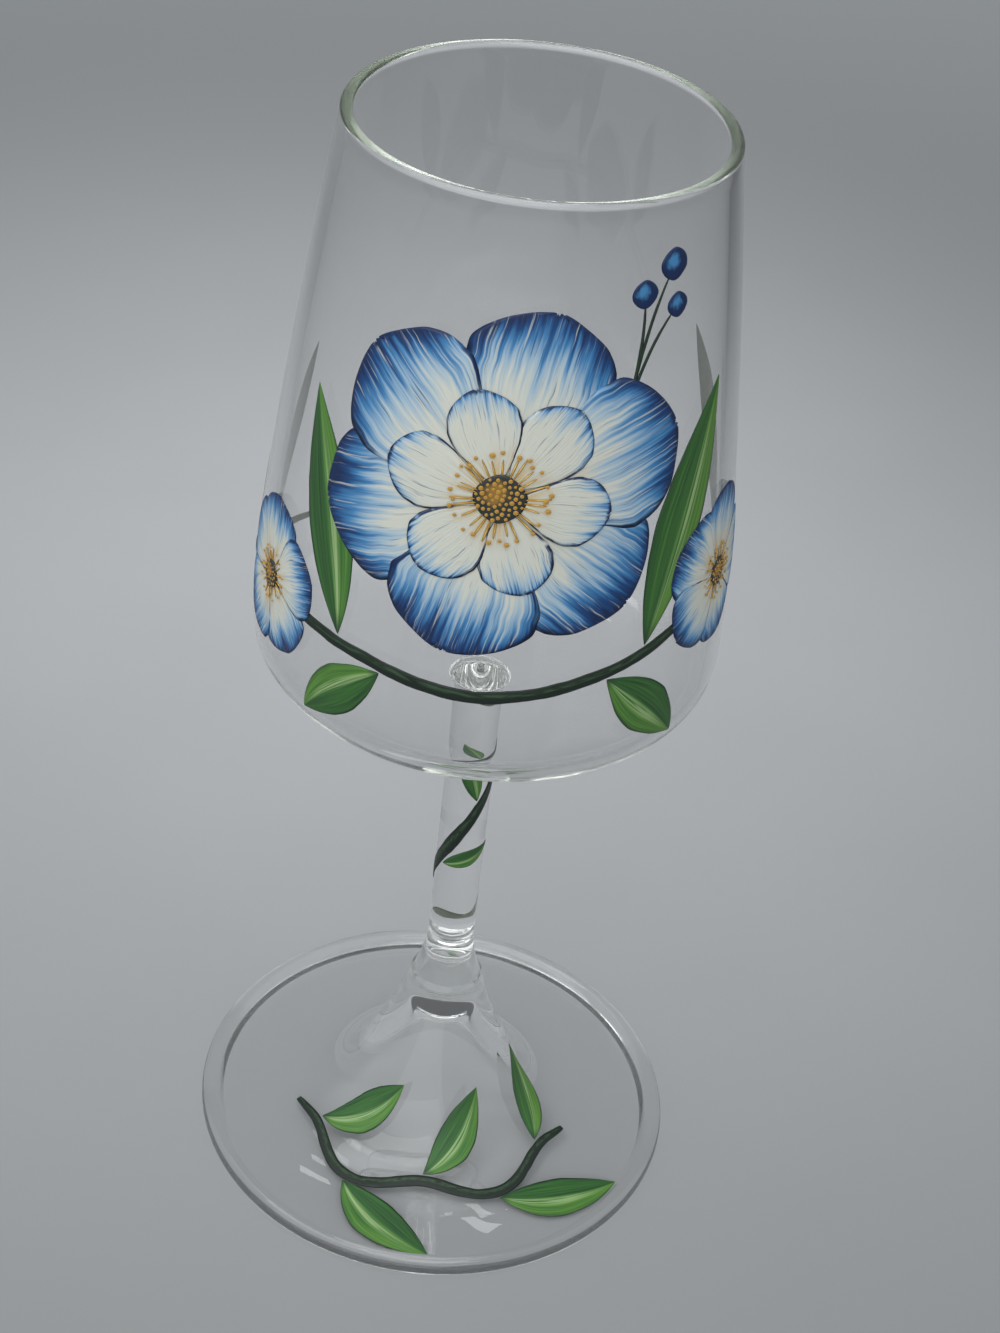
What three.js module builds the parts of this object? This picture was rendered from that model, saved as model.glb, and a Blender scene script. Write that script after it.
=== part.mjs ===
// A stemmed drinking glass with a hand-painted garland of open blossoms and leaves.
// Millimetres, +Z up. The origin is the centre of the ring that the foot stands on, and the
// painted front of the glass faces -Y. The glass is three pieces fused end to end, a foot, a stem
// and a bowl, and every patch of paint is its own thin film lying on the outside of the glass.
import * as THREE from "three";

// Foot: a plate with a round bead at its edge, drawn up into a hollow cone
const FOOT_RADIUS = 43.9;
const FOOT_EDGE = 3.4; // thickness of the bead
const BEAD_TURN = 65; // degrees that the bead's circle runs on inwards from its crest
const BEAD_SLOPE = 0.7; // share of the straight slope inside the bead, before it rounds into the plate
const BEAD_WIDTH = 4.2; // from the edge to where the bead has run out into the plate
const PLATE_THICKNESS = 1.5;
const PLATE_RISE = 1; // how far the plate climbs before it turns up into the cone
const PLATE_EASE = 0.2; // share of the plate's width that the turn takes up
const CONE_HEIGHT = 20; // ring where that turn is over and the cone starts to straighten
const CONE_RADIUS = 11; // of that ring
const CONE_SLOPE = 0.4; // how fast the cone widens downwards there
const FOOT_HEIGHT = 43; // from the table to the joint with the stem
const STANDING_RING = 1.5; // width of the flat ring that touches the table
const HOLLOW_RADIUS = 6; // of the hollow, at the cone's ring
const HOLLOW_SLOPE = 0.5; // how fast the hollow widens downwards there
const HOLLOW_LIFT = 0.8; // height at which the hollow turns out under the plate
const HOLLOW_TOP = 25;

// Stem
const STEM_RADIUS = 4.15;
const STEM_LENGTH = 57.5;
const WELD_WIDTH = 1.05; // how far the fused top flares past the stem
const WELD_FLARE = 3; // height of that flare

// Bowl
const BOWL_HEIGHT = 99.5;
const BOWL_RADIUS = 38.2; // at the widest ring
const SHOULDER_HEIGHT = 14; // widest ring, above the bowl's underside
const SHOULDER_ROUND = 5.5; // upright run of the shoulder's curve, below the widest ring
const CORNER_INSET = 1.2; // the underside runs flat towards this far inside the widest ring
const WALL_BELLY = 21.5; // height over which the wall leans in from upright
const RIM_RADIUS = 29;
const WALL = 2; // all over the bowl, up to the rim, which is rounded over

// Paint films, each coat lying over the one below it
const PAINT_THICKNESS = 0.25;
const PAINT_CLEARANCE = 0.2; // from the glass to the first coat, and from coat to coat
const PETAL_GAP = 0.5; // bare line between neighbouring petals
const LEAF_GAP = 0.5; // bare line between a leaf and the vine that it grows from
const VINE_WIDTH = 2.2;

const FRONT_DROP = 42.5; // from the rim to the middle of the front blossom
const BERRY_DROP = 13; // from the rim to the middle of the berries

// Blossoms on the bowl: distance round the bowl to the right of its front, and height above its
// underside. A ring of petals starts that far from the heart's middle and fills a share of its circle.
const BLOSSOMS = [
  {
    name: "front",
    right: 0,
    height: BOWL_HEIGHT - FRONT_DROP,
    heart: 3.8,
    rings: [
      { name: "petal", count: 6, turn: 10, start: 5.5, length: 22, fill: 0.93, coat: 1 },
      { name: "inner_petal", count: 6, turn: 40, start: 3, length: 13.5, fill: 0.8, coat: 2 },
    ],
  },
  {
    name: "right",
    right: 43,
    height: 36,
    heart: 2.5,
    rings: [{ name: "petal", count: 5, turn: 20, start: 2.4, length: 11, fill: 0.93, coat: 1 }],
  },
  {
    name: "left",
    right: -41,
    height: 28,
    heart: 2.4,
    rings: [{ name: "petal", count: 5, turn: -5, start: 2.3, length: 10.5, fill: 0.93, coat: 1 }],
  },
];

// Points that the bowl's vine passes through: distance to the right of the front, and height
const BOWL_VINE = [
  [-80, 17],
  [-60, 23],
  [-41, 27],
  [-21, 26],
  [0, 24],
  [22, 28],
  [43, 34],
  [60, 29],
  [75, 19],
];

// Leaves: where each starts as a share of its vine, on the vine's left (1) or right (-1), which way
// it points (degrees from straight up, to the right), its size and how far its tip bends to the right
const BOWL_LEAVES = [
  { at: 0.41, side: -1, turn: -128, length: 19, width: 8, bend: -2 },
  { at: 0.36, side: 1, turn: -12, length: 38, width: 10, bend: -5 },
  { at: 0.13, side: 1, turn: -14, length: 32, width: 9, bend: -4 },
  { at: 0.61, side: -1, turn: 130, length: 21, width: 8.5, bend: 2 },
  { at: 0.65, side: 1, turn: 14, length: 42, width: 11, bend: 5 },
  { at: 0.88, side: 1, turn: 20, length: 36, width: 9.5, bend: 5 },
];
const STEM_LEAVES = [
  { at: 0.62, side: 1, turn: -12, length: 11, width: 3.6, bend: -1 },
  { at: 0.34, side: -1, turn: 62, length: 10, width: 3.6, bend: 1 },
];
const FOOT_LEAVES = [
  { at: 0.1, side: 1, turn: 48, length: 21, width: 8.5, bend: -1.5 },
  { at: 0.3, side: -1, turn: 118, length: 20, width: 8, bend: 1.5 },
  { at: 0.5, side: 1, turn: 48, length: 21, width: 8.5, bend: -1.5 },
  { at: 0.7, side: -1, turn: 118, length: 20, width: 8, bend: 1.5 },
  { at: 0.9, side: 1, turn: 48, length: 21, width: 8.5, bend: -1.5 },
];
const BERRIES = [
  { right: 17.5, height: BOWL_HEIGHT - BERRY_DROP, radius: 2.1 },
  { right: 22, height: BOWL_HEIGHT - BERRY_DROP + 3.5, radius: 2.4 },
  { right: 23.5, height: BOWL_HEIGHT - BERRY_DROP - 2.5, radius: 1.9 },
];
const STEM_VINE_TURNS = 1;
const STEM_VINE_MARGIN = 2.5; // bare glass at each end of the stem
const FOOT_VINE_INSET = 18; // from the foot's edge
const FOOT_VINE_LENGTH = 68;
const FOOT_VINE_SWAY = 1.8; // to each side of its arc
const FOOT_VINE_WAVES = 2.5;

// Outlines of petals and leaves: where they are broadest, how full they are, and their blunt ends
const PETAL_SHAPE = { skew: 1.5, fullness: 0.75 };
const LEAF_SHAPE = { skew: 1, fullness: 0.9 };
const BLUNT_END = 0.03; // share of the length

// Facets
const GLASS_SIDES = 48;
const STEM_SIDES = 24;
const CURVE_STEPS = 8;
const FOOT_STEPS = 9;

const bowlZ = FOOT_HEIGHT + STEM_LENGTH;
const rimZ = bowlZ + BOWL_HEIGHT;
const weldRadius = STEM_RADIUS + WELD_WIDTH;
const degrees = THREE.MathUtils.degToRad;

const glass = new THREE.MeshStandardMaterial({ color: 0xdfe5e3, roughness: 0.05, transparent: true, opacity: 0.35 });
const paints = {
  petal: new THREE.MeshStandardMaterial({ color: 0x3f74ad, roughness: 0.4 }),
  inner_petal: new THREE.MeshStandardMaterial({ color: 0xc9d3cf, roughness: 0.4 }),
  heart: new THREE.MeshStandardMaterial({ color: 0xc79a3c, roughness: 0.45 }),
  leaf: new THREE.MeshStandardMaterial({ color: 0x3f6e33, roughness: 0.4 }),
  vine: new THREE.MeshStandardMaterial({ color: 0x1f3524, roughness: 0.4 }),
  berry: new THREE.MeshStandardMaterial({ color: 0x1d3f7c, roughness: 0.35 }),
};

const part = new THREE.Group();

function addPiece(name, geometry, material) {
  const mesh = new THREE.Mesh(geometry, material);
  mesh.name = name;
  part.add(mesh);
}

// A profile of radius and height turned about the vertical axis.
function turned(profile, sides) {
  return new THREE.LatheGeometry(profile, sides).rotateX(Math.PI / 2);
}

// Outer surfaces of the glass, each drawn upwards

function footTop() {
  const edge = FOOT_EDGE / 2;
  const crest = FOOT_RADIUS - edge;
  const turn = degrees(BEAD_TURN);
  const end = new THREE.Vector2(crest - edge * Math.sin(turn), edge + edge * Math.cos(turn));
  const plate = new THREE.Vector2(FOOT_RADIUS - BEAD_WIDTH, PLATE_THICKNESS);
  const plateTop = PLATE_THICKNESS + PLATE_RISE;
  const corner = new THREE.Vector2(CONE_RADIUS + CONE_SLOPE * (CONE_HEIGHT - plateTop), plateTop);
  const ease = corner.clone().lerp(plate, PLATE_EASE);
  const path = new THREE.Path();
  path.moveTo(crest, FOOT_EDGE);
  path.quadraticCurveTo(crest - edge * Math.tan(turn / 2), FOOT_EDGE, end.x, end.y);
  const slopeFoot = new THREE.Vector2(end.x - (end.y - plate.y) / Math.tan(turn), plate.y);
  const slopeEnd = end.clone().lerp(slopeFoot, BEAD_SLOPE);
  path.lineTo(slopeEnd.x, slopeEnd.y);
  path.quadraticCurveTo(slopeFoot.x, slopeFoot.y, plate.x, plate.y);
  path.bezierCurveTo(ease.x, ease.y, corner.x, corner.y, CONE_RADIUS, CONE_HEIGHT);
  const neck = CONE_HEIGHT + (CONE_RADIUS - STEM_RADIUS) / CONE_SLOPE;
  path.quadraticCurveTo(STEM_RADIUS, neck, STEM_RADIUS, FOOT_HEIGHT);
  return path;
}

// The foot's underside, from the top of its hollow out to the flat ring.
function footUnder() {
  const rim = new THREE.Vector2(FOOT_RADIUS - FOOT_EDGE / 2 - STANDING_RING, 0);
  const corner = new THREE.Vector2(HOLLOW_RADIUS + HOLLOW_SLOPE * (CONE_HEIGHT - HOLLOW_LIFT), HOLLOW_LIFT);
  const ease = corner.clone().lerp(rim, PLATE_EASE);
  const path = new THREE.Path();
  path.moveTo(0, HOLLOW_TOP);
  const shoulder = HOLLOW_RADIUS - HOLLOW_SLOPE * (HOLLOW_TOP - CONE_HEIGHT);
  path.quadraticCurveTo(shoulder, HOLLOW_TOP, HOLLOW_RADIUS, CONE_HEIGHT);
  path.bezierCurveTo(corner.x, corner.y, ease.x, ease.y, rim.x, rim.y);
  return path;
}

function stemSide() {
  const path = new THREE.Path();
  path.moveTo(STEM_RADIUS, FOOT_HEIGHT);
  path.lineTo(STEM_RADIUS, bowlZ - WELD_FLARE);
  path.quadraticCurveTo(STEM_RADIUS, bowlZ, weldRadius, bowlZ);
  return path;
}

function bowlWall() {
  return new THREE.QuadraticBezierCurve(
    new THREE.Vector2(BOWL_RADIUS, bowlZ + SHOULDER_HEIGHT),
    new THREE.Vector2(BOWL_RADIUS, bowlZ + SHOULDER_HEIGHT + WALL_BELLY),
    new THREE.Vector2(RIM_RADIUS, rimZ - WALL / 2),
  );
}

function bowlOutside() {
  const path = new THREE.Path();
  path.moveTo(weldRadius, bowlZ);
  path.bezierCurveTo(
    BOWL_RADIUS - CORNER_INSET,
    bowlZ,
    BOWL_RADIUS,
    bowlZ + SHOULDER_HEIGHT - SHOULDER_ROUND,
    BOWL_RADIUS,
    bowlZ + SHOULDER_HEIGHT,
  );
  path.curves.push(bowlWall());
  return path;
}

// Glass

function makeFoot() {
  const edge = FOOT_EDGE / 2;
  const bead = new THREE.Path();
  bead.absarc(FOOT_RADIUS - edge, edge, edge, -Math.PI / 2, Math.PI / 2, false);
  const points = [
    ...footUnder().getPoints(CURVE_STEPS),
    ...bead.getPoints(CURVE_STEPS / 2),
    ...footTop().getPoints(FOOT_STEPS).slice(1),
    new THREE.Vector2(0, FOOT_HEIGHT),
  ];
  addPiece("foot", turned(points, GLASS_SIDES), glass);
}

function makeStem() {
  const points = [
    new THREE.Vector2(0, FOOT_HEIGHT),
    ...stemSide().getPoints(CURVE_STEPS),
    new THREE.Vector2(0, bowlZ),
  ];
  addPiece("stem", turned(points, STEM_SIDES), glass);
}

function makeBowl() {
  const wall = bowlWall();
  const leaning = wall.getTangent(1);
  const lean = Math.atan2(-leaning.x, leaning.y);
  const middle = RIM_RADIUS - (WALL / 2) * Math.cos(lean);
  const rim = new THREE.Path();
  rim.absarc(middle, rimZ - WALL / 2, WALL / 2, lean, Math.PI + lean, false);
  const points = [
    new THREE.Vector2(0, bowlZ),
    ...bowlOutside().getPoints(CURVE_STEPS),
    ...rim.getPoints(CURVE_STEPS / 2),
  ];
  for (const curve of bowlOutside().curves.reverse()) {
    for (let i = 1; i <= CURVE_STEPS; i++) {
      const t = 1 - i / CURVE_STEPS;
      const tangent = curve.getTangent(t);
      const inward = new THREE.Vector2(-tangent.y, tangent.x);
      points.push(curve.getPoint(t).addScaledVector(inward, WALL));
    }
  }
  points.push(new THREE.Vector2(0, bowlZ + WALL));
  addPiece("bowl", turned(points, GLASS_SIDES), glass);
}

// Paint

// The faceted line that a surface is turned from, measured by its length, with the way out of the glass.
class Meridian {
  constructor(path, steps) {
    this.points = path.getPoints(steps);
    this.lengths = [0];
    this.points.slice(1).forEach((p, i) => this.lengths.push(this.lengths[i] + p.distanceTo(this.points[i])));
  }

  at(along) {
    const reached = this.lengths.findIndex((length) => length > along);
    const i = reached < 0 ? this.points.length - 1 : Math.max(reached, 1);
    const a = this.points[i - 1];
    const b = this.points[i];
    const share = (along - this.lengths[i - 1]) / (this.lengths[i] - this.lengths[i - 1]);
    const place = a.clone().lerp(b, share);
    const tangent = b.clone().sub(a).normalize();
    return { radius: place.x, height: place.y, outR: tangent.y, outZ: -tangent.x };
  }

  // How far along the line a measure that starts below zero first reaches it.
  alongWhere(measure) {
    const i = this.points.findIndex((p) => measure(p) >= 0);
    const before = measure(this.points[i - 1]);
    const share = before / (before - measure(this.points[i]));
    return THREE.MathUtils.lerp(this.lengths[i - 1], this.lengths[i], share);
  }

  // A distance to the right of the front and a height become an angle and a length along the line.
  spot(right, height) {
    const along = this.alongWhere((p) => p.y - height);
    return { angle: right / this.at(along).radius, along };
  }

  // A point off the surface, where angle 0 is the front and positive is to the right.
  point({ angle, along }, off) {
    const m = this.at(along);
    const radius = m.radius + m.outR * off;
    return new THREE.Vector3(radius * Math.sin(angle), -radius * Math.cos(angle), m.height + m.outZ * off);
  }

  // Flat steps from a spot, turned to the right by an angle.
  step(from, turn, right, up) {
    const away = right * Math.cos(turn) + up * Math.sin(turn);
    const climb = up * Math.cos(turn) - right * Math.sin(turn);
    return { angle: from.angle + away / this.at(from.along).radius, along: from.along + climb };
  }
}

// A film over a grid of spots: place(u, v) has u from 0 to 1 along it and v from -1 to 1 across it.
function film(surface, coat, rows, columns, place) {
  const low = PAINT_CLEARANCE + coat * (PAINT_THICKNESS + PAINT_CLEARANCE);
  const positions = [];
  const index = [];
  for (const off of [low, low + PAINT_THICKNESS]) {
    for (let i = 0; i <= rows; i++) {
      for (let j = 0; j <= columns; j++) {
        const spot = place(i / rows, (2 * j) / columns - 1);
        positions.push(...surface.point(spot, off).toArray());
      }
    }
  }
  const across = columns + 1;
  const layer = (rows + 1) * across;
  const quad = (a, b, c, d) => index.push(a, b, c, a, c, d);
  for (let i = 0; i < rows; i++) {
    for (let j = 0; j < columns; j++) {
      const a = i * across + j;
      quad(layer + a, layer + a + 1, layer + a + across + 1, layer + a + across);
      quad(a + across, a + across + 1, a + 1, a);
    }
  }
  const edge = [];
  for (let j = 0; j < columns; j++) edge.push(j);
  for (let i = 0; i < rows; i++) edge.push(i * across + columns);
  for (let j = columns; j > 0; j--) edge.push(rows * across + j);
  for (let i = rows; i > 0; i--) edge.push(i * across);
  edge.forEach((a, k) => {
    const b = edge[(k + 1) % edge.length];
    quad(a, b, layer + b, layer + a);
  });
  return new THREE.BufferGeometry()
    .setAttribute("position", new THREE.Float32BufferAttribute(positions, 3))
    .setIndex(index);
}

// How wide a petal or leaf is at a share of its length, against its widest.
function outline(share, shape) {
  const u = BLUNT_END + share * (1 - 2 * BLUNT_END);
  return Math.sin(Math.PI * u ** shape.skew) ** shape.fullness;
}

// A ring's petals are as wide as their wedge of the circle lets them be, where they are widest.
function petalWidth(ring) {
  const widest = ring.start + ring.length * 0.5 ** (1 / PETAL_SHAPE.skew);
  return ring.fill * (2 * widest * Math.tan(Math.PI / ring.count) - PETAL_GAP);
}

function makeBlossom(surface, blossom) {
  const middle = surface.spot(blossom.right, bowlZ + blossom.height);
  for (const ring of blossom.rings) {
    const half = petalWidth(ring) / 2;
    for (let k = 0; k < ring.count; k++) {
      const turn = degrees(ring.turn + (360 * k) / ring.count);
      const geometry = film(surface, ring.coat, 6, 4, (u, v) =>
        surface.step(middle, turn, v * half * outline(u, PETAL_SHAPE), ring.start + u * ring.length),
      );
      addPiece(`${blossom.name}_${ring.name}_${k + 1}`, geometry, paints[ring.name]);
    }
  }
  const topCoat = blossom.rings.at(-1).coat;
  addPiece(`${blossom.name}_heart`, dab(surface, middle, blossom.heart, topCoat + 1), paints.heart);
}

// A round dab of paint.
function dab(surface, middle, radius, coat) {
  return film(surface, coat, 6, 4, (u, v) => {
    const up = -Math.cos(Math.PI * (BLUNT_END + u * (1 - 2 * BLUNT_END)));
    return surface.step(middle, 0, v * radius * Math.sqrt(1 - up * up), up * radius);
  });
}

// A spot beside a vine, a distance to its left, where line(t) gives the vine's own spots.
function beside(surface, line, share, distance) {
  const nudge = 1e-3;
  const t = THREE.MathUtils.clamp(share, nudge, 1 - nudge);
  const here = line(t);
  const before = line(t - nudge);
  const after = line(t + nudge);
  const { radius } = surface.at(here.along);
  const run = new THREE.Vector2((after.angle - before.angle) * radius, after.along - before.along).normalize();
  return { angle: here.angle - (distance * run.y) / radius, along: here.along + distance * run.x };
}

// A vine and the leaves that grow from it.
function makeVine(name, surface, line, rows, leaves) {
  const ribbon = film(surface, 0, rows, 1, (u, v) => beside(surface, line, u, (-v * VINE_WIDTH) / 2));
  addPiece(`${name}_vine`, ribbon, paints.vine);
  leaves.forEach((leaf, k) => {
    const start = beside(surface, line, leaf.at, leaf.side * (VINE_WIDTH / 2 + LEAF_GAP));
    const blade = film(surface, 0, 10, 2, (u, v) => {
      const right = (v * leaf.width * outline(u, LEAF_SHAPE)) / 2 + leaf.bend * u * u;
      return surface.step(start, degrees(leaf.turn), right, u * leaf.length);
    });
    addPiece(`${name}_leaf_${k + 1}`, blade, paints.leaf);
  });
}

function paintBowl() {
  const surface = new Meridian(bowlOutside(), CURVE_STEPS);
  const route = new THREE.SplineCurve(
    BOWL_VINE.map(([right, height]) => {
      const spot = surface.spot(right, bowlZ + height);
      return new THREE.Vector2(spot.angle, spot.along);
    }),
  );
  const line = (t) => {
    const { x, y } = route.getPoint(t);
    return { angle: x, along: y };
  };
  makeVine("bowl", surface, line, 48, BOWL_LEAVES);
  BLOSSOMS.forEach((blossom) => makeBlossom(surface, blossom));
  BERRIES.forEach((berry, k) => {
    const middle = surface.spot(berry.right, bowlZ + berry.height);
    addPiece(`berry_${k + 1}`, dab(surface, middle, berry.radius, 0), paints.berry);
  });
}

function paintStem() {
  const surface = new Meridian(stemSide(), CURVE_STEPS);
  const reach = STEM_LENGTH - WELD_FLARE - 2 * STEM_VINE_MARGIN;
  const line = (t) => ({
    angle: (t - 0.5) * STEM_VINE_TURNS * 2 * Math.PI,
    along: STEM_VINE_MARGIN + t * reach,
  });
  makeVine("stem", surface, line, 40, STEM_LEAVES);
}

function paintFoot() {
  const surface = new Meridian(footTop(), FOOT_STEPS);
  const radius = FOOT_RADIUS - FOOT_VINE_INSET;
  const along = surface.alongWhere((p) => radius - p.x);
  const line = (t) => ({
    angle: ((t - 0.5) * FOOT_VINE_LENGTH) / radius,
    along: along + FOOT_VINE_SWAY * Math.sin(2 * Math.PI * FOOT_VINE_WAVES * t),
  });
  makeVine("foot", surface, line, 32, FOOT_LEAVES);
}

makeFoot();
makeStem();
makeBowl();
paintBowl();
paintStem();
paintFoot();

export default part;
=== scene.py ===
# %% [markdown]
# # A painted wine glass
#
# The object is a clear wine glass of three pieces, a foot, a stem and a bowl, that a glass worker
# fuses end to end while they are hot. A garland of blue blossoms is painted on the outside by hand.
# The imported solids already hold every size, so this lesson loads them first and then lays a finer
# skin over each one: smooth turned glass, and thin films of brushed paint.

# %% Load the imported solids
import math

import bmesh
import bpy
from mathutils import Matrix, Vector


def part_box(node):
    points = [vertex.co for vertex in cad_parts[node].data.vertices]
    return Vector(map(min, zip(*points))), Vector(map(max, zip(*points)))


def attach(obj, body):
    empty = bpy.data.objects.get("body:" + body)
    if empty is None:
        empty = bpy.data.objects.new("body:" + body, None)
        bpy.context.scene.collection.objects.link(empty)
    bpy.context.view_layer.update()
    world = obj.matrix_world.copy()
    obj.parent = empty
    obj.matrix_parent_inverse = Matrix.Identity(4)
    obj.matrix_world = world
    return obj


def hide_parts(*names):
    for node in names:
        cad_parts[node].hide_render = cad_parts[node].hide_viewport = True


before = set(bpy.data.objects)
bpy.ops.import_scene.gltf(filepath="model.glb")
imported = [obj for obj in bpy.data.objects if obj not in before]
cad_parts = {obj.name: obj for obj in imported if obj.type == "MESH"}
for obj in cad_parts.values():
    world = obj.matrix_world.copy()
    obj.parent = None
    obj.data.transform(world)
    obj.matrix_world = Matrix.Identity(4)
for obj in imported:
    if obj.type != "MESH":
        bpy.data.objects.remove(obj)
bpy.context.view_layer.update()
scene = bpy.context.scene
scene.view_settings.view_transform = "Standard"
MM = 0.001

# %% [markdown]
# ## The camera
#
# The photograph looks down on the glass from in front, and the picture is tilted, so the glass
# leans to the right in it. The values below were fitted to the rim, the foot and the ends of the
# stem. A matrix takes all three turns at once, which is plainer than a chain of rotations.

# %% Camera at the photograph's angle
CAMERA_AWAY = 316.1 * MM
CAMERA_HEIGHT = 333.2 * MM
CAMERA_YAW = math.radians(0.57)
CAMERA_PITCH = math.radians(36.06)
CAMERA_ROLL = math.radians(-6.83)
CAMERA_LENS = 63.52

camera_data = bpy.data.cameras.new("camera")
camera_data.lens = CAMERA_LENS
camera_data.sensor_width = 36
camera = bpy.data.objects.new("camera", camera_data)
scene.collection.objects.link(camera)
forward = Vector((
    math.sin(CAMERA_YAW) * math.cos(CAMERA_PITCH),
    math.cos(CAMERA_YAW) * math.cos(CAMERA_PITCH),
    -math.sin(CAMERA_PITCH),
))
level = Vector((math.cos(CAMERA_YAW), -math.sin(CAMERA_YAW), 0))
down = forward.cross(level)
picture_right = math.cos(CAMERA_ROLL) * level + math.sin(CAMERA_ROLL) * down
picture_down = math.cos(CAMERA_ROLL) * down - math.sin(CAMERA_ROLL) * level
turn = Matrix((picture_right, -picture_down, -forward)).transposed()
camera.matrix_world = Matrix.Translation((0, -CAMERA_AWAY, CAMERA_HEIGHT)) @ turn.to_4x4()
scene.camera = camera
print("camera looks down by", round(math.degrees(CAMERA_PITCH), 1), "degrees")

# %% [markdown]
# ## Wiring nodes from a script
#
# Materials and Geometry Nodes are both graphs of nodes. Clicking them together is quick by hand and
# long in code, so one small helper adds a node, sets its choices and feeds its sockets: another
# node's output is linked, and a plain number or colour is set as the input's own value. Outputs can
# be added and multiplied with the usual signs, which is far easier to read than a chain of Math nodes.

# %% Outputs that can be added and multiplied


class Value:
    """A node's output. The signs + - * / ** work on it, and each one adds a Math node."""

    def __init__(self, wires, socket):
        self.wires = wires
        self.socket = socket

    def __add__(self, other):
        return self.wires.math("ADD", self, other)

    def __sub__(self, other):
        return self.wires.math("SUBTRACT", self, other)

    def __rsub__(self, other):
        return self.wires.math("SUBTRACT", other, self)

    def __mul__(self, other):
        return self.wires.math("MULTIPLY", self, other)

    def __truediv__(self, other):
        return self.wires.math("DIVIDE", self, other)

    def __pow__(self, other):
        return self.wires.math("POWER", self, other)


print("a node's output knows the signs + - * / **")

# %% A helper that wires nodes


class Wiring:
    """Adds nodes to one tree and feeds their inputs, by the input's name or number."""

    def __init__(self, tree):
        self.tree = tree

    def feed(self, socket, value):
        if isinstance(value, Value):
            self.tree.links.new(value.socket, socket)
        else:
            socket.default_value = value

    def node(self, kind, inputs=None, **choices):
        node = self.tree.nodes.new(kind)
        for name, value in choices.items():
            setattr(node, name, value)
        for key, value in (inputs or {}).items():
            self.feed(node.inputs[key], value)
        return node

    def outputs(self, node):
        """All the outputs of a node, by name."""
        return {socket.name: Value(self, socket) for socket in node.outputs}

    def value(self, kind, inputs=None, output=0, **choices):
        """One output of a new node."""
        return Value(self, self.node(kind, inputs, **choices).outputs[output])

    def math(self, operation, first, second=0.0, third=0.0):
        return self.value("ShaderNodeMath", {0: first, 1: second, 2: third}, operation=operation)

    def drift(self, value, amount, base):
        """A base that a value of about a half moves a little up or down."""
        return self.math("MULTIPLY_ADD", value - 0.5, amount, base)

    def split(self, vector):
        return list(self.outputs(self.node("ShaderNodeSeparateXYZ", {0: vector})).values())

    def join(self, x, y, z):
        return self.value("ShaderNodeCombineXYZ", {0: x, 1: y, 2: z})

    def noise(self, vector, detail=2.0, scale=1.0):
        return self.value("ShaderNodeTexNoise", {"Vector": vector, "Scale": scale, "Detail": detail})

    def ramp(self, value, low, high):
        """A value taken smoothly from 0 at low to 1 at high."""
        inputs = {"Value": value, "From Min": low, "From Max": high}
        return self.value("ShaderNodeMapRange", inputs, interpolation_type="SMOOTHSTEP")

    def blend(self, factor, first, second):
        return self.value("ShaderNodeMix", {0: factor, 6: first, 7: second}, 2, data_type="RGBA")


print("wiring helper ready")

# %% Colours and empty materials


def tint(red, green, blue):
    """A colour as it looks on a screen, 0 to 255, in the linear values that shaders take."""
    parts = [part / 255 for part in (red, green, blue)]
    linear = [part / 12.92 if part <= 0.04045 else ((part + 0.055) / 1.055) ** 2.4 for part in parts]
    return (*linear, 1.0)


def new_material(name):
    """An empty material with its output node, ready to wire."""
    material = bpy.data.materials.new(name)
    material.use_nodes = True
    material.node_tree.nodes.clear()
    wiring = Wiring(material.node_tree)
    return material, wiring, wiring.node("ShaderNodeOutputMaterial")


print("middle grey is", round(tint(128, 128, 128)[0], 3))

# %% [markdown]
# ## Floor and light
#
# The glass stands on a grey sheet whose colour holds painted light: a wide painted pool of light
# behind the glass, painted shade around it, a lighter painted tone far behind and painted shade
# towards the right. Clear glass shows little of its own: what draws it is what it mirrors and bends.
# The room is bright in front and overhead and dark behind the glass, and the painted shade on the
# right of the sheet makes the edges that bend light from there turn into dark lines. Two soft boxes
# give the light. Three small panes behind the glass only show as short streaks on the foot. A band
# of light runs on inside the wall up to the rim, and it takes very many bounces to come out there.

# %% Grey sheet
SHEET_HALF = 2.5
SHEET_GREY = tint(186, 187, 189)
SHEET_SHADE = tint(182, 183, 185)
# Painted shade: the sheet's colour away from the painted pool of light.
SHEET_PAINTED_DIMMING = tint(136, 138, 139)
# Painted light: a lighter sheet colour far behind the glass.
SHEET_PAINTED_FAR_LIGHT = tint(162, 164, 165)
# Painted shade: a darker sheet colour towards the right.
SHEET_PAINTED_SIDE_SHADE = tint(104, 105, 107)
# Middle and reach of a pool of light painted into the sheet's colour.
PAINTED_POOL_MIDDLE = (-0.02, 0.20, 0.0)
PAINTED_POOL_REACH = 0.35
FAR_LIGHT_FROM, FAR_LIGHT_TO = 0.3, 0.8
SIDE_SHADE_FROM, SIDE_SHADE_TO = 0.18, 0.38
CLOUD_SCALE = 9.0

floor_mesh = bpy.data.meshes.new("floor")
corners = [(-SHEET_HALF, -SHEET_HALF, 0), (SHEET_HALF, -SHEET_HALF, 0)]
corners += [(SHEET_HALF, SHEET_HALF, 0), (-SHEET_HALF, SHEET_HALF, 0)]
floor_mesh.from_pydata(corners, [], [(0, 1, 2, 3)])
floor = bpy.data.objects.new("floor", floor_mesh)
scene.collection.objects.link(floor)
sheet, wires, output = new_material("grey_sheet")
place = wires.value("ShaderNodeTexCoord", output="Object")
cloud = wires.noise(place, 3.0, CLOUD_SCALE)
colour = wires.blend(wires.ramp(cloud, 0.35, 0.65), SHEET_GREY, SHEET_SHADE)
away = wires.value("ShaderNodeVectorMath", {0: place, 1: PAINTED_POOL_MIDDLE}, "Value", operation="DISTANCE")
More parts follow.
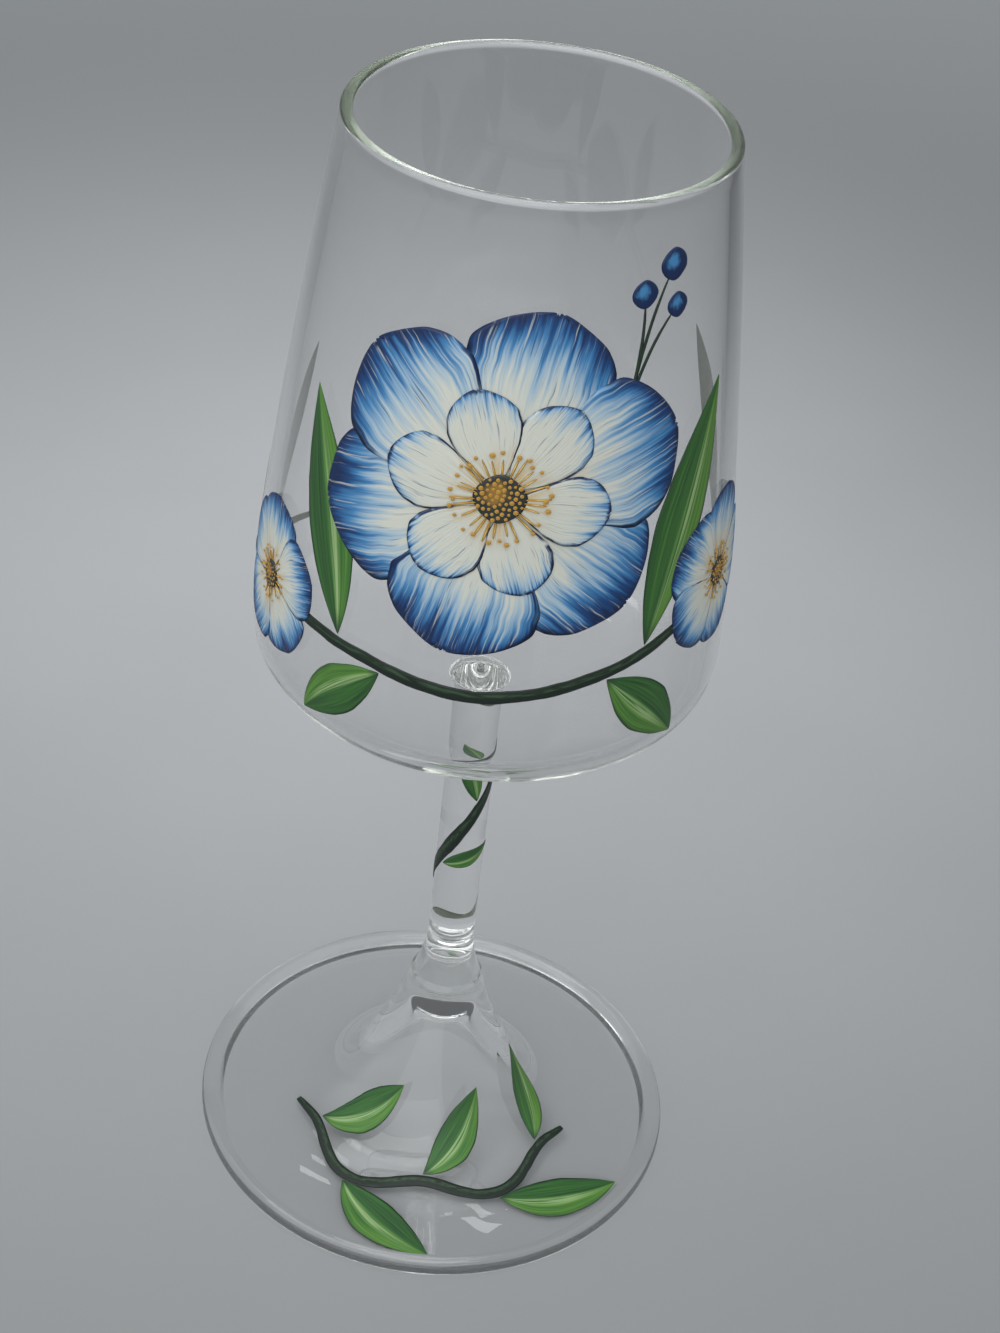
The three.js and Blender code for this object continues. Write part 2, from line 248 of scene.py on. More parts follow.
# Painted pool of light: the sheet's colour darkens with distance from the pool's middle.
colour = wires.blend(wires.ramp(away, 0.0, PAINTED_POOL_REACH), colour, SHEET_PAINTED_DIMMING)
across, back = wires.split(place)[:2]
# Painted light: the sheet's colour turns lighter towards the back.
colour = wires.blend(wires.ramp(back, FAR_LIGHT_FROM, FAR_LIGHT_TO), colour, SHEET_PAINTED_FAR_LIGHT)
# Painted shade: the sheet's colour darkens towards the right.
colour = wires.blend(wires.ramp(across, SIDE_SHADE_FROM, SIDE_SHADE_TO), colour, SHEET_PAINTED_SIDE_SHADE)
surface = wires.value("ShaderNodeBsdfPrincipled", {"Base Color": colour, "Roughness": 0.75})
wires.feed(output.inputs["Surface"], surface)
floor_mesh.materials.append(sheet)
print("sheet is", 2 * SHEET_HALF, "m wide")

# %% Room round the glass
ROOM_LIGHT = tint(226, 230, 233)
ROOM_SHADE = tint(90, 92, 94)
HORIZON_FROM, HORIZON_TO = -0.1, 0.15
BACK_FROM, BACK_TO = 0.55, 0.3

world = bpy.data.worlds.new("soft_room")
world.use_nodes = True
world.node_tree.nodes.clear()
wires = Wiring(world.node_tree)
way = wires.split(wires.value("ShaderNodeTexCoord", output="Generated"))
above = wires.ramp(way[2], HORIZON_FROM, HORIZON_TO)
ahead = wires.ramp(way[1], BACK_FROM, BACK_TO)
room = wires.blend(above * ahead, ROOM_SHADE, ROOM_LIGHT)
backing = wires.value("ShaderNodeBackground", {"Color": room, "Strength": 1.0})
wires.node("ShaderNodeOutputWorld", {"Surface": backing})
scene.world = world
print("room made with", len(world.node_tree.nodes), "nodes")

# %% Soft boxes and panes
LIGHT_BOUNCES = 500


def soft_box(name, place, aim, size, watts):
    """A rectangular lamp at a place, turned to face the point that it lights."""
    data = bpy.data.lights.new(name, "AREA")
    data.shape = "RECTANGLE"
    data.size, data.size_y = size
    data.energy = watts
    lamp = bpy.data.objects.new(name, data)
    scene.collection.objects.link(lamp)
    lamp.location = place
    lamp.rotation_euler = (Vector(aim) - Vector(place)).to_track_quat("-Z", "Y").to_euler()


soft_box("top_box", (-0.12, -0.08, 0.62), (-0.05, 0.0, 0), (0.6, 0.34), 1.2)
soft_box("front_box", (-0.55, -1.25, 1.0), (0, 0, 0.1), (2.4, 1.8), 11.0)
soft_box("left_pane", (-0.17, 0.60, 0.94), (0, 0, 0), (0.02, 0.08), 0.02)
soft_box("right_pane", (0.09, 0.60, 0.98), (0, 0, 0), (0.02, 0.08), 0.02)
soft_box("side_window", (-0.40, 0.38, 0.95), (0, 0, 0), (0.12, 0.26), 0.2)
scene.cycles.max_bounces = LIGHT_BOUNCES
scene.cycles.transmission_bounces = LIGHT_BOUNCES
scene.cycles.transparent_max_bounces = 64
scene.cycles.glossy_bounces = LIGHT_BOUNCES
scene.cycles.caustics_refractive = False
print("lamps ready:", len(bpy.data.lights))

# %% [markdown]
# ## The glass
#
# Crown glass bends light by about 1.5 and is faintly green where it is thick. A Principled shader
# with full transmission gives the bending, and Volume Absorption gives the green, which then grows
# with depth as in real glass. Lamps reach through glass too, so for shadow rays the material turns
# to a plain transparent one, and so it does for light that the sheet scatters. A faint veil in that
# plain side leaves a soft shade under the foot. Blown walls are never quite even: a faint bump,
# drawn out upwards, gives the wall its slow waves.

# %% Clear glass material
GLASS_INDEX = 1.5
GLASS_GREEN = (0.83, 0.865, 0.80, 1.0)
GLASS_VEIL = (0.965, 0.97, 0.968, 1.0)
GLASS_DEPTH = 5.0
WAVE_STRETCH = 0.12
WAVE_SCALE = 55.0
WAVE_BUMP = 0.6 * MM


def clear_glass():
    material, wires, output = new_material("clear_glass")
    place = wires.split(wires.value("ShaderNodeTexCoord", output="Object"))
    wave_place = wires.join(place[0], place[1], place[2] * WAVE_STRETCH)
    waves = wires.noise(wave_place, 1.0, WAVE_SCALE)
    bump = wires.value("ShaderNodeBump", {"Strength": 0.3, "Distance": WAVE_BUMP, "Height": waves})
    glass = wires.value("ShaderNodeBsdfPrincipled", {
        "Base Color": (1.0, 1.0, 1.0, 1.0),
        "Roughness": 0.0,
        "IOR": GLASS_INDEX,
        "Transmission Weight": 1.0,
        "Normal": bump,
    })
    through = wires.value("ShaderNodeBsdfTransparent", {"Color": GLASS_VEIL})
    path = wires.outputs(wires.node("ShaderNodeLightPath"))
    mix = wires.value("ShaderNodeMixShader", {0: path["Is Shadow Ray"], 1: glass, 2: through})
    mix = wires.value("ShaderNodeMixShader", {0: path["Is Diffuse Ray"], 1: mix, 2: through})
    depth = wires.value("ShaderNodeVolumeAbsorption", {"Color": GLASS_GREEN, "Density": GLASS_DEPTH})
    wires.feed(output.inputs["Surface"], mix)
    wires.feed(output.inputs["Volume"], depth)
    return material


GLASS = clear_glass()
print("glass bends light by", GLASS_INDEX)

# %% [markdown]
# ## Profiles of the three glass pieces
#
# Foot, stem and bowl are all turned shapes: a profile swept once round the upright axis. Each
# profile is drawn here as a line of points from the axis, round the outside, and back to the axis.
# Long sweeps are smooth curves, beads and rim are arcs, and pairs of close points hold a crisp
# corner. A steep slope inside the foot's bead draws its dark inner line. The neck carries a fine
# ring below the joint, and the joint itself is a shallow groove. The heights and the largest radii
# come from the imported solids.

# %% Lines and arcs for the profiles


def sweep(points, steps):
    """A smooth line from the first point to the last, which the points between pull towards them."""
    line = []
    for step in range(steps + 1):
        row = [Vector(point) for point in points]
        while len(row) > 1:
            row = [first.lerp(second, step / steps) for first, second in zip(row, row[1:])]
        line.append(row[0])
    return line


def arc(centre, radius, start, end, steps):
    """Points along an arc, from one angle to another, in degrees from the outward side."""
    line = []
    for step in range(steps + 1):
        angle = math.radians(start + (end - start) * step / steps)
        line.append(Vector(centre) + radius * Vector((math.cos(angle), math.sin(angle))))
    return line


foot_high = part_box("foot")[1]
bowl_low, bowl_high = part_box("bowl")
FOOT_RADIUS = foot_high.x
FOOT_TOP = foot_high.z
BOWL_RADIUS = bowl_high.x
BOWL_Z = bowl_low.z
RIM_Z = bowl_high.z
print("foot", round(FOOT_RADIUS / MM, 1), "bowl", round(BOWL_RADIUS / MM, 1), "rim", round(RIM_Z / MM, 1))

# %% Outside of the foot
FOOT_EDGE = 3.4 * MM
BEAD_END = 150
BEAD_SLOPE = 0.9
BEAD_WIDTH = 4.2 * MM
PLATE = 1.0 * MM
PLATE_RISE = 1.0 * MM
PLATE_EASE = 0.2
CONE_RADIUS = 11 * MM
CONE_HEIGHT = 20 * MM
CONE_SLOPE = 0.4
STEM_RADIUS = 4.15 * MM
WELD_GROOVE = 0.12 * MM
RING_HEIGHT = 33.5 * MM
RING_WIDTH = 1.0 * MM
RING_SWELL = 0.5 * MM

edge = FOOT_EDGE / 2
bead_middle = Vector((FOOT_RADIUS - edge, edge))
bead_turn = math.radians(BEAD_END)
bead_end = bead_middle + edge * Vector((math.cos(bead_turn), math.sin(bead_turn)))
bead_foot = Vector((bead_end.x - (bead_end.y - PLATE) * math.tan(math.pi - bead_turn), PLATE))
bead_bend = bead_end.lerp(bead_foot, BEAD_SLOPE)
plate_rim = Vector((FOOT_RADIUS - BEAD_WIDTH, PLATE))
plate_top = PLATE + PLATE_RISE
cone_foot = Vector((CONE_RADIUS + CONE_SLOPE * (CONE_HEIGHT - plate_top), plate_top))
cone_ring = Vector((CONE_RADIUS, CONE_HEIGHT))
cone_top = Vector((STEM_RADIUS, CONE_HEIGHT + (CONE_RADIUS - STEM_RADIUS) / CONE_SLOPE))
neck = sweep([cone_ring, cone_top, (STEM_RADIUS, FOOT_TOP - WELD_GROOVE)], 90)
for point in neck:
    near = max(0.0, 1 - ((point.y - RING_HEIGHT) / RING_WIDTH) ** 2)
    point.x += RING_SWELL * near ** 2
foot_outside = arc(bead_middle, edge, 90, BEAD_END, 12)
foot_outside += sweep([bead_end, bead_bend], 4)[1:]
foot_outside += sweep([bead_bend, bead_foot, plate_rim], 8)[1:]
foot_outside += sweep([plate_rim, cone_foot.lerp(plate_rim, PLATE_EASE), cone_foot, cone_ring], 40)[1:]
foot_outside += neck[1:]
print("points from the bead to the stem:", len(foot_outside))

# %% Hollow under the foot
STANDING_RING = 1.5 * MM
HOLLOW_RADIUS = 6 * MM
HOLLOW_SLOPE = 0.5
HOLLOW_LIFT = 0.8 * MM
HOLLOW_TOP = 25 * MM

hollow_rim = Vector((bead_middle.x - STANDING_RING, 0))
hollow_foot = Vector((HOLLOW_RADIUS + HOLLOW_SLOPE * (CONE_HEIGHT - HOLLOW_LIFT), HOLLOW_LIFT))
hollow_ring = Vector((HOLLOW_RADIUS, CONE_HEIGHT))
hollow_bend = (HOLLOW_RADIUS - HOLLOW_SLOPE * (HOLLOW_TOP - CONE_HEIGHT), HOLLOW_TOP)
hollow = sweep([(0, HOLLOW_TOP), hollow_bend, hollow_bend, hollow_bend, hollow_ring], 40)
hollow += sweep([hollow_ring, hollow_foot, hollow_foot.lerp(hollow_rim, PLATE_EASE), hollow_rim], 40)[1:]
foot_profile = (
    hollow
    + arc(bead_middle, edge, -90, 90, 18)
    + foot_outside[1:]
    + [Vector((STEM_RADIUS - WELD_GROOVE, FOOT_TOP)), Vector((0, FOOT_TOP))]
)
print("profile points: foot", len(foot_profile))

# %% Stem profile
WELD_WIDTH = 1.05 * MM
WELD_FLARE = 3 * MM
SINK = 0.2 * MM

weld_radius = STEM_RADIUS + WELD_WIDTH
flare_foot = (STEM_RADIUS, BOWL_Z - WELD_FLARE)
stem_outside = [Vector((STEM_RADIUS - WELD_GROOVE, FOOT_TOP))]
stem_outside += sweep([(STEM_RADIUS, FOOT_TOP + WELD_GROOVE), flare_foot], 30)
stem_outside += sweep([flare_foot, (STEM_RADIUS, BOWL_Z), (weld_radius, BOWL_Z)], 10)[1:]
stem_profile = (
    [Vector((0, FOOT_TOP - SINK)), Vector((STEM_RADIUS - 2 * SINK, FOOT_TOP - SINK))]
    + stem_outside
    + [Vector((weld_radius - 2 * SINK, BOWL_Z + SINK)), Vector((0, BOWL_Z + SINK))]
)
print("profile points: stem", len(stem_profile))

# %% Bowl profile
SHOULDER = 14 * MM
SHOULDER_ROUND = 5.5 * MM
CORNER_INSET = 1.2 * MM
WALL_BELLY = 21.5 * MM
RIM_RADIUS = 29 * MM
WALL = 2.0 * MM
CRISP = 0.04 * MM

shoulder_z = BOWL_Z + SHOULDER
bowl_outside = sweep([
    (weld_radius, BOWL_Z), (BOWL_RADIUS - CORNER_INSET, BOWL_Z),
    (BOWL_RADIUS, shoulder_z - SHOULDER_ROUND), (BOWL_RADIUS, shoulder_z),
], 44)
wall = sweep([
    (BOWL_RADIUS, shoulder_z), (BOWL_RADIUS, shoulder_z + WALL_BELLY), (RIM_RADIUS, RIM_Z - WALL / 2),
], 60)
bowl_outside += wall[1:]
inside = []
for before, after in zip(bowl_outside, bowl_outside[1:]):
    along = (after - before).normalized()
    inside.append((before + after) / 2 + WALL * Vector((-along.y, along.x)))
lean = math.degrees(math.atan2(wall[-2].x - wall[-1].x, wall[-1].y - wall[-2].y))
rim_middle = Vector((RIM_RADIUS - WALL / 2 * math.cos(math.radians(lean)), RIM_Z - WALL / 2))
bowl_profile = (
    [Vector((0, BOWL_Z)), Vector((weld_radius - CRISP, BOWL_Z))]
    + bowl_outside
    + arc(rim_middle, WALL / 2, lean, 180 + lean, 24)
    + inside[::-1]
    + [Vector((0, BOWL_Z + WALL))]
)
print("profile points: bowl", len(bowl_profile))

# %% [markdown]
# ## Turning the profiles
#
# Geometry Nodes can do what a lathe does. A flat grid has one row for each profile point and one
# column for each step round the axis. Every grid point looks up its profile point by row, and its
# column gives the angle, so the sheet rolls up into the turned shape. Merging by distance closes the
# seam and gathers each end row into one point on the axis.

# %% Parts that the trees share


def node_tree(name, inputs):
    """An empty Geometry Nodes tree with named inputs and one geometry output."""
    tree = bpy.data.node_groups.new(name, "GeometryNodeTree")
    for label, kind in inputs.items():
        tree.interface.new_socket(label, in_out="INPUT", socket_type="NodeSocket" + kind)
    tree.interface.new_socket("Geometry", in_out="OUTPUT", socket_type="NodeSocketGeometry")
    wires = Wiring(tree)
    return tree, wires, wires.outputs(wires.node("NodeGroupInput"))


def unit_grid(wires, rows, columns):
    """A flat grid, 1 by 1, with its middle at the origin."""
    inputs = {"Size X": 1.0, "Size Y": 1.0, "Vertices X": rows, "Vertices Y": columns}
    return wires.value("GeometryNodeMeshGrid", inputs, "Mesh")


def position(wires):
    """The place of each point."""
    return wires.value("GeometryNodeInputPosition")


def guide_shape(wires, guide):
    """The curve that a guide object holds."""
    return wires.value("GeometryNodeObjectInfo", {"Object": guide}, "Geometry")


def on_curve(wires, guide, mode, **where):
    """The place and the direction on a guide's curve, found by its length or its share of it."""
    inputs = {"Curves": guide_shape(wires, guide), **where}
    found = wires.outputs(wires.node("GeometryNodeSampleCurve", inputs, mode=mode))
    return wires.split(found["Position"]), wires.split(found["Tangent"])


def turned(wires, radius, angle, height):
    """The place at a radius and a height, turned round the axis by an angle from the front."""
    across = radius * wires.math("SINE", angle)
    ahead = radius * (wires.math("COSINE", angle) * -1.0)
    return wires.join(across, ahead, height)


def moved(wires, geometry, place):
    """Geometry with each point at a new place."""
    return wires.value("GeometryNodeSetPosition", {"Geometry": geometry, "Position": place})


def closed(wires, geometry, gap, material):
    """Geometry with its seams merged, shaded smooth, made real and given its material."""
    merged = wires.value("GeometryNodeMergeByDistance", {"Geometry": geometry, "Distance": gap})
    smooth = wires.value("GeometryNodeSetShadeSmooth", {"Geometry": merged})
    real = wires.value("GeometryNodeRealizeInstances", {"Geometry": smooth})
    return wires.value("GeometryNodeSetMaterial", {"Geometry": real, "Material": material})


print("shared parts of the trees ready")

# %% A tree that turns a profile
GLASS_SEAM = 2e-6


def turned_tree():
    """A grid rolled up into a turned shape: one row for each profile point."""
    tree, wires, given = node_tree("turned_glass", {
        "Profile": "Object", "Points": "Int", "Sides": "Int", "Glass": "Material",
    })
    grid = unit_grid(wires, given["Points"], given["Sides"] + 1)
    place = wires.split(position(wires))
    last_row = given["Points"] - 1
    row = wires.math("ROUND", (place[0] + 0.5) * last_row)
    angle = (place[1] + 0.5) * math.tau
    spot = wires.value("GeometryNodeSampleIndex", {
        "Geometry": guide_shape(wires, given["Profile"]), "Value": position(wires), "Index": row,
    }, data_type="FLOAT_VECTOR", domain="POINT")
    radius, _, height = wires.split(spot)
    rolled = moved(wires, grid, turned(wires, radius, angle, height))
    wires.node("NodeGroupOutput", {"Geometry": closed(wires, rolled, GLASS_SEAM, given["Glass"])})
    return tree


TURNED = turned_tree()
print("tree", TURNED.name, "has", len(TURNED.nodes), "nodes")

# %% From a tree to a plain mesh


def guide_line(name, points):
    """A curve of straight spans that a tree reads; it is taken away after use."""
    data = bpy.data.curves.new(name, "CURVE")
    data.dimensions = "3D"
    spline = data.splines.new("POLY")
    spline.points.add(len(points) - 1)
    for knot, point in zip(spline.points, points):
        knot.co = (*point, 1.0)
    guide = bpy.data.objects.new(name, data)
    scene.collection.objects.link(guide)
    return guide


def upright(profile):
    """Profile points, radius and height, as points in the upright plane."""
    return [(point.x, 0, point.y) for point in profile]


def grow(tree, name, values):
    """Runs a tree once and keeps its result as a plain, closed mesh with its faces outwards."""
    piece = bpy.data.objects.new(name, bpy.data.meshes.new(name + "_start"))
    scene.collection.objects.link(piece)
    modifier = piece.modifiers.new(tree.name, "NODES")
    modifier.node_group = tree
    for socket in tree.interface.items_tree:
        if socket.in_out == "INPUT":
            modifier[socket.identifier] = values[socket.name]
    ready = bpy.context.evaluated_depsgraph_get()
    mesh = bpy.data.meshes.new_from_object(
        piece.evaluated_get(ready), preserve_all_data_layers=True, depsgraph=ready)
    piece.modifiers.remove(modifier)
    piece.data = mesh
    mesh.name = name
    shell = bmesh.new()
    shell.from_mesh(mesh)
    bmesh.ops.recalc_face_normals(shell, faces=shell.faces)
    loose = sum(1 for edge in shell.edges if not edge.is_manifold)
    shell.to_mesh(mesh)
    shell.free()
    print(name, "faces", len(mesh.polygons), "open edges", loose)
    return piece


print("ready to grow meshes from", TURNED.name)

# %% Turn the foot, the stem and the bowl


def dress(piece, slot, *nodes):
    """Says what the piece rides on and which solids it stands for; the finish, slot, is not used."""
    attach(piece, "root")
    if nodes:
        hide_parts(*nodes)


def turn_glass(node, profile, sides):
    """Turns one glass piece from its profile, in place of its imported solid."""
    guide = guide_line(node + "_profile", upright(profile))
    values = {"Profile": guide, "Points": len(profile), "Sides": sides, "Glass": GLASS}
    piece = grow(TURNED, "clear_" + node, values)
    bpy.data.objects.remove(guide)
    dress(piece, "clear_glass", node)


turn_glass("foot", foot_profile, 160)
turn_glass("stem", stem_profile, 72)
turn_glass("bowl", bowl_profile, 160)

# %% [markdown]
# ## Paint that follows the glass
#
# Every patch of paint is a thin film. It is laid out flat first, as a painter sees it: right, up, and
# its height off the glass. Then it is wrapped. The distance up is measured along the glass's own
# outline, the distance to the right becomes an angle round the axis, and the height goes along the
# outward normal. Wrapping in nodes keeps films the same thickness on the wall, the stem and the foot.

# %% Glass outlines that carry paint


class Outline:
    """The line that a glass surface is turned from, measured by its length from its first point."""

    def __init__(self, name, line):
        self.line = line
        self.lengths = [0.0]
        for before, after in zip(line, line[1:]):
            self.lengths.append(self.lengths[-1] + (after - before).length)
        self.guide = guide_line(name, upright(line))

    def radius(self, along):
        spans = zip(self.lengths, self.lengths[1:], self.line, self.line[1:])
        for low, high, before, after in spans:
            if along <= high:
                return before.lerp(after, (along - low) / (high - low)).x
        return self.line[-1].x

    def along_where(self, measure):
        """How far along the line a measure that starts below zero first reaches it."""
        values = [measure(point) for point in self.line]
        last = next(number for number, value in enumerate(values) if value >= 0)
        share = values[last - 1] / (values[last - 1] - values[last])
        return self.lengths[last - 1] + share * (self.lengths[last] - self.lengths[last - 1])

    def spot(self, right, height):
        """The angle and the length for a distance right of the front, at a height."""
        along = self.along_where(lambda point: point.y - height)
        return right / self.radius(along), along


bowl_side = Outline("bowl_side", bowl_outside)
stem_round = Outline("stem_round", stem_outside)
foot_top = Outline("foot_top", foot_outside)
outlines = (bowl_side, stem_round, foot_top)
print("outline lengths in mm:", [round(side.lengths[-1] / MM) for side in outlines])

# %% A tree that wraps flat paint onto the glass
WRAP_INPUTS = {"Outline": "Object", "Angle": "Float", "Along": "Float", "Radius": "Float", "Lift": "Float"}


def wrap_tree():
    """Flat paint bent round the axis and laid along an outline of the glass."""
    tree, wires, given = node_tree("wrap_on_glass", {"Flat": "Geometry", **WRAP_INPUTS})
    right, up, off = wires.split(position(wires))
    place, heading = on_curve(wires, given["Outline"], "LENGTH", Length=given["Along"] + up)
    radius, _, height = place
    run, _, climb = heading
    off = off + given["Lift"]
    radius = wires.math("MULTIPLY_ADD", climb, off, radius)
    height = height - run * off
    angle = given["Angle"] + right / given["Radius"]
    wrapped = moved(wires, given["Flat"], turned(wires, radius, angle, height))
    wires.node("NodeGroupOutput", {"Geometry": wrapped})
    return tree


WRAP = wrap_tree()
print("tree", WRAP.name, "has", len(WRAP.nodes), "nodes")

# %% [markdown]
# ## One brush for petals, leaves and vines
#
# A petal, a leaf and a vine are all strokes: a spine that the brush follows and a width that swells
# and narrows along it. One tree makes them all. A grid becomes the stroke's top, which is thickest in
# the middle, has low ridges left by the bristles, and thins to nothing at its edge. The same grid,
# laid flat and turned over, is the underside against the glass. For a ring of petals the stroke is
# copied round a circle, each copy with a small change of turn and size, because no two strokes of a
# hand are alike.

# %% Outline of one stroke
BLUNT_END = 0.003
EDGES_APART = 3.0
EDGE_SEED = 1.7
HAIRS = 5.0
HAIR_SEED = 4.1
FRAY_POWER = 5.0


def stroke_plan(wires, given, share, side):
    """Where a point lies, right and up, from its share of the length and its side of the spine."""
    blunt = wires.math("MULTIPLY_ADD", share, 1 - 2 * BLUNT_END, BLUNT_END)
    swell = wires.math("SINE", blunt ** given["Skew"] * math.pi)
    swell = swell ** given["Fullness"]
    edge_walk = wires.join(
        share * given["Waves"],
        wires.math("SIGN", side) * EDGES_APART,
        given["Seed"] * EDGE_SEED,
    )
    waver = (wires.noise(edge_walk) - 0.5) * given["Waver"]
    half = given["Half Width"] * swell * (waver + 1.0)
    across = half * side
    middle, heading = on_curve(wires, given["Spine"], "FACTOR", Factor=share)
    hairs = wires.join(side * HAIRS, 0.0, given["Seed"] * HAIR_SEED)
    fray = (wires.noise(hairs, 3.0) - 0.5) * given["Fray"]
    fray = fray * share ** FRAY_POWER
    right = wires.math("MULTIPLY_ADD", heading[1], across, middle[0])
    right = wires.math("MULTIPLY_ADD", heading[0], fray, right)
    up = middle[1] - heading[0] * across
    up = wires.math("MULTIPLY_ADD", heading[1], fray, up)
    return right, up


print("stroke ends are cut", 100 * BLUNT_END, "percent short of a point")

# %% Relief of one stroke
END_FADE = 25.0
BODY_POWER = 0.4
RIDGE_RUN = 0.08
RIDGE_LANES = 0.5
RIDGE_SEED = 2.3


def stroke_relief(wires, given, share, side):
    """How thick the paint is: full in the middle, ridged by the bristles, nothing at the edge."""
    body = 1.0 - side * side
    ends = wires.math("MINIMUM", share, 1.0 - share)
    ends = wires.math("MINIMUM", ends * END_FADE, 1.0)
    body = (wires.math("MAXIMUM", body, 0.0) * ends) ** BODY_POWER
    bristle_walk = wires.join(
        share * (given["Bristles"] * RIDGE_RUN),
        side * (given["Bristles"] * RIDGE_LANES),
        given["Seed"] * RIDGE_SEED,
    )
    ridges = (wires.noise(bristle_walk, 1.0) - 0.5) * given["Ridge"]
    return body * (given["Thickness"] + ridges)


def stored(wires, geometry, name, value, data_type, domain):
    """Geometry that carries a named value."""
    inputs = {"Geometry": geometry, "Name": name, "Value": value}
    choices = {"data_type": data_type, "domain": domain}
    return wires.value("GeometryNodeStoreNamedAttribute", inputs, **choices)


def one_stroke(wires, given):
    """A flat stroke: its top with the relief, and its underside turned over below it."""
    grid = unit_grid(wires, given["Rows"], given["Columns"])
    place = wires.split(position(wires))
    even = (place[0] + 0.5) * math.pi
    share = wires.math("MULTIPLY_ADD", wires.math("COSINE", even), -0.5, 0.5)
    side = place[1] * 2.0
    uv = wires.join(share, place[1] + 0.5, 0.0)
    mapped = stored(wires, grid, "UVMap", uv, "FLOAT2", "CORNER")
    right, up = stroke_plan(wires, given, share, side)
    off = stroke_relief(wires, given, share, side)
    top = moved(wires, mapped, wires.join(right, up, off))
    under = moved(wires, mapped, wires.join(right, up, 0.0))
    under = stored(wires, under, "underside", True, "BOOLEAN", "FACE")
    under = wires.value("GeometryNodeFlipFaces", {"Mesh": under})
    both = wires.node("GeometryNodeJoinGeometry", {0: top})
    wires.feed(both.inputs[0], under)
    return Value(wires, both.outputs[0])


print("a stroke reaches its full body at", 100 / END_FADE, "percent of its length")

# %% Copies of a stroke round a circle
COPY_SEED = 3.7
RING_SEED = 6.1
SIZE_WALK = 2.1


def random_between(wires, low, high, number, seed):
    """A number of its own for each copy, from low to high."""
    inputs = {2: low, 3: high, "ID": number, "Seed": seed}
    return wires.value("FunctionNodeRandomValue", inputs, 1, data_type="FLOAT")


def copied(wires, one, count, places, seed, inputs):
    """Copies of one shape at their places, made real, each with a seed for its paint."""
    spots = wires.value("GeometryNodePoints", {"Count": count, "Position": places})
    spots = stored(wires, spots, "patch_seed", seed, "FLOAT", "POINT")
    copies = wires.value("GeometryNodeInstanceOnPoints", {"Points": spots, "Instance": one, **inputs})
    return wires.value("GeometryNodeRealizeInstances", {"Geometry": copies})


def ring_of(wires, given, one):
    """Copies of a stroke round a circle, each with its own seed and a small change of turn and size."""
    number = wires.value("GeometryNodeInputIndex")
    parity = wires.math("MODULO", number, 2.0)
    places = wires.join(0.0, 0.0, parity * given["Stagger"])
    seed = wires.math("MULTIPLY_ADD", number, COPY_SEED, given["Seed"] * RING_SEED)
    chance = random_between(wires, given["Spread"] * -1.0, given["Spread"], number, given["Seed"])
    ring = number * math.tau / given["Copies"]
    turn = ring + given["First Turn"] + chance
    wobble = wires.math("SINE", seed * SIZE_WALK)
    size = wires.math("MULTIPLY_ADD", wobble, given["Spread"], 1.0)
    return copied(wires, one, given["Copies"], places, seed, {
        "Rotation": wires.join(0.0, 0.0, turn * -1.0), "Scale": wires.join(size, size, 1.0),
    })


print("seeds of a ring's copies lie", COPY_SEED, "apart")

# %% A tree that lays brush strokes
STROKE_INPUTS = {
    "Spine": "Object", "Rows": "Int", "Columns": "Int", "Half Width": "Float", "Skew": "Float",
    "Fullness": "Float", "Fray": "Float", "Waver": "Float", "Waves": "Float", "Thickness": "Float",
    "Ridge": "Float", "Bristles": "Float", "Copies": "Int", "First Turn": "Float", "Spread": "Float",
    "Stagger": "Float", "Seed": "Int", "Paint": "Material", "Undercoat": "Material", **WRAP_INPUTS,
}
PAINT_SEAM = 1e-6


def finish_paint(tree, wires, given, flat):
    """Wraps flat paint, closes its edges and gives it its paint, with the undercoat below."""
    inputs = {"Flat": flat, **{name: given[name] for name in WRAP_INPUTS}}
    wrapped = wires.value("GeometryNodeGroup", inputs, node_tree=WRAP)
    painted = closed(wires, wrapped, PAINT_SEAM, given["Paint"])
    low_side = wires.value("GeometryNodeInputNamedAttribute", {"Name": "underside"}, data_type="BOOLEAN")
    done = wires.value("GeometryNodeSetMaterial", {
        "Geometry": painted, "Selection": low_side, "Material": given["Undercoat"],
    })
    wires.node("NodeGroupOutput", {"Geometry": done})
    return tree


def stroke_tree():
    """A stroke, or a ring of strokes, made flat and then wrapped onto the glass."""
    tree, wires, given = node_tree("brush_stroke", STROKE_INPUTS)
    flat = ring_of(wires, given, one_stroke(wires, given))
    return finish_paint(tree, wires, given, flat)


STROKE = stroke_tree()
print("tree", STROKE.name, "has", len(STROKE.nodes), "nodes")

# %% [markdown]
# ## Paint colours
#
# Brushed enamel isn't one colour. Bristles drag pale and dark paint side by side, so each film's
# colour comes from noise that is drawn out along the stroke: its UV map runs along and across it.
# A ramp turns that into the few paints on the palette, and the same marks drive bump and gloss.

# %% Brush marks shared by all the paints
NAVY = tint(14, 38, 78)
PRUSSIAN = tint(22, 66, 118)
CERULEAN = tint(66, 128, 178)
PALE_BLUE = tint(158, 184, 202)
CREAM = tint(205, 207, 196)
OCHRE = tint(198, 160, 78)
LEAF_DEEP = tint(28, 60, 36)
LEAF_MIDDLE = tint(56, 106, 46)
LEAF_FRESH = tint(112, 156, 62)
LEAF_PALE = tint(158, 184, 132)
STALK_DARK = tint(20, 34, 26)
STALK_GREEN = tint(58, 84, 56)
GLOSS_DRIFT = 0.25
MARK_BUMP = 0.2 * MM


def stroke_uv(wires):
    """How far along and across its stroke a point is."""
    return wires.split(wires.value("ShaderNodeUVMap", uv_map="UVMap"))


